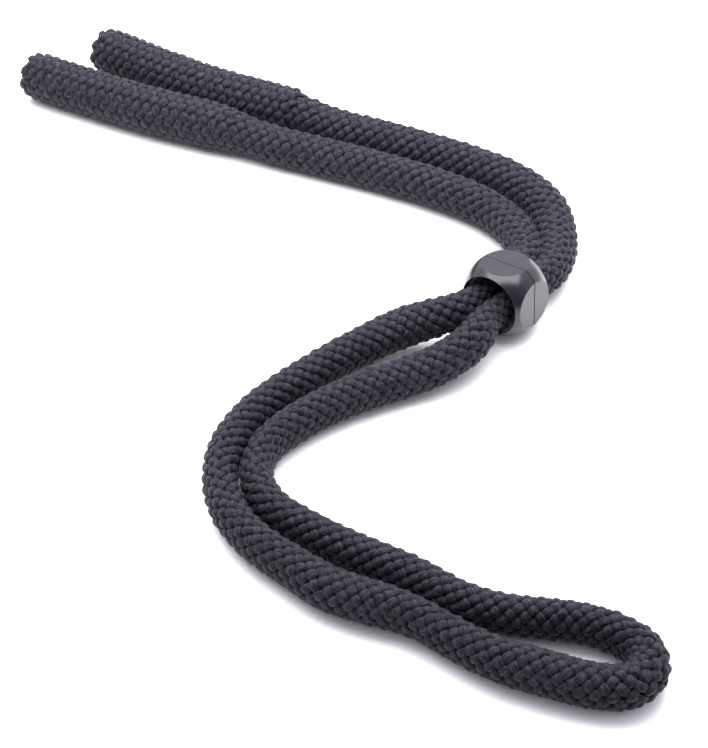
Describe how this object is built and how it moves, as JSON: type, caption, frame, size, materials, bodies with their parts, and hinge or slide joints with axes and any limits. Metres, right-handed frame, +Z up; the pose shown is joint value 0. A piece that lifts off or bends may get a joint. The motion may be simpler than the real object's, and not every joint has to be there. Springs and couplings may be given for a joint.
{
  "type": "eyeglass retainer strap",
  "caption": "Doubled braided tubular cord with open temple sleeves at its ends, a loop at the other side, and a faceted slider bead that grips both strands.",
  "frame": {"origin": "on the table, under the middle of the strap's outline as it lies", "axes": "+Z up from the table, +Y from the loop's end towards the temple sleeves, +X towards the side the bead is on"},
  "size_m": [0.1179, 0.1674, 0.0143],
  "materials": {
    "braid": "braided matt yarn",
    "bead_plastic": "satin moulded",
    "grip_rubber": "soft, toothed"
  },
  "bodies": {
    "strap": {"temple_sleeve_near": "braid", "temple_sleeve_far": "braid", "sleeve_lining_near": "braid", "sleeve_lining_far": "braid", "cord_leg_near": "braid", "cord_leg_far": "braid", "cord_in_bead_near": "braid", "cord_in_bead_far": "braid", "cord_loop": "braid"},
    "slider_bead": {"bead_front_shell": "bead_plastic", "bead_rear_shell": "bead_plastic", "front_grip_ring": "grip_rubber", "rear_grip_ring": "grip_rubber"}
  },
  "joints": [
    {"name": "bead_slide", "type": "slide", "parent": "strap", "child": "slider_bead", "axis": [-0.6246, -0.7714, 0.1219], "range_m": [-0.004, 0.01], "deforming": ["cord_in_bead_near", "cord_in_bead_far"]}
  ]
}
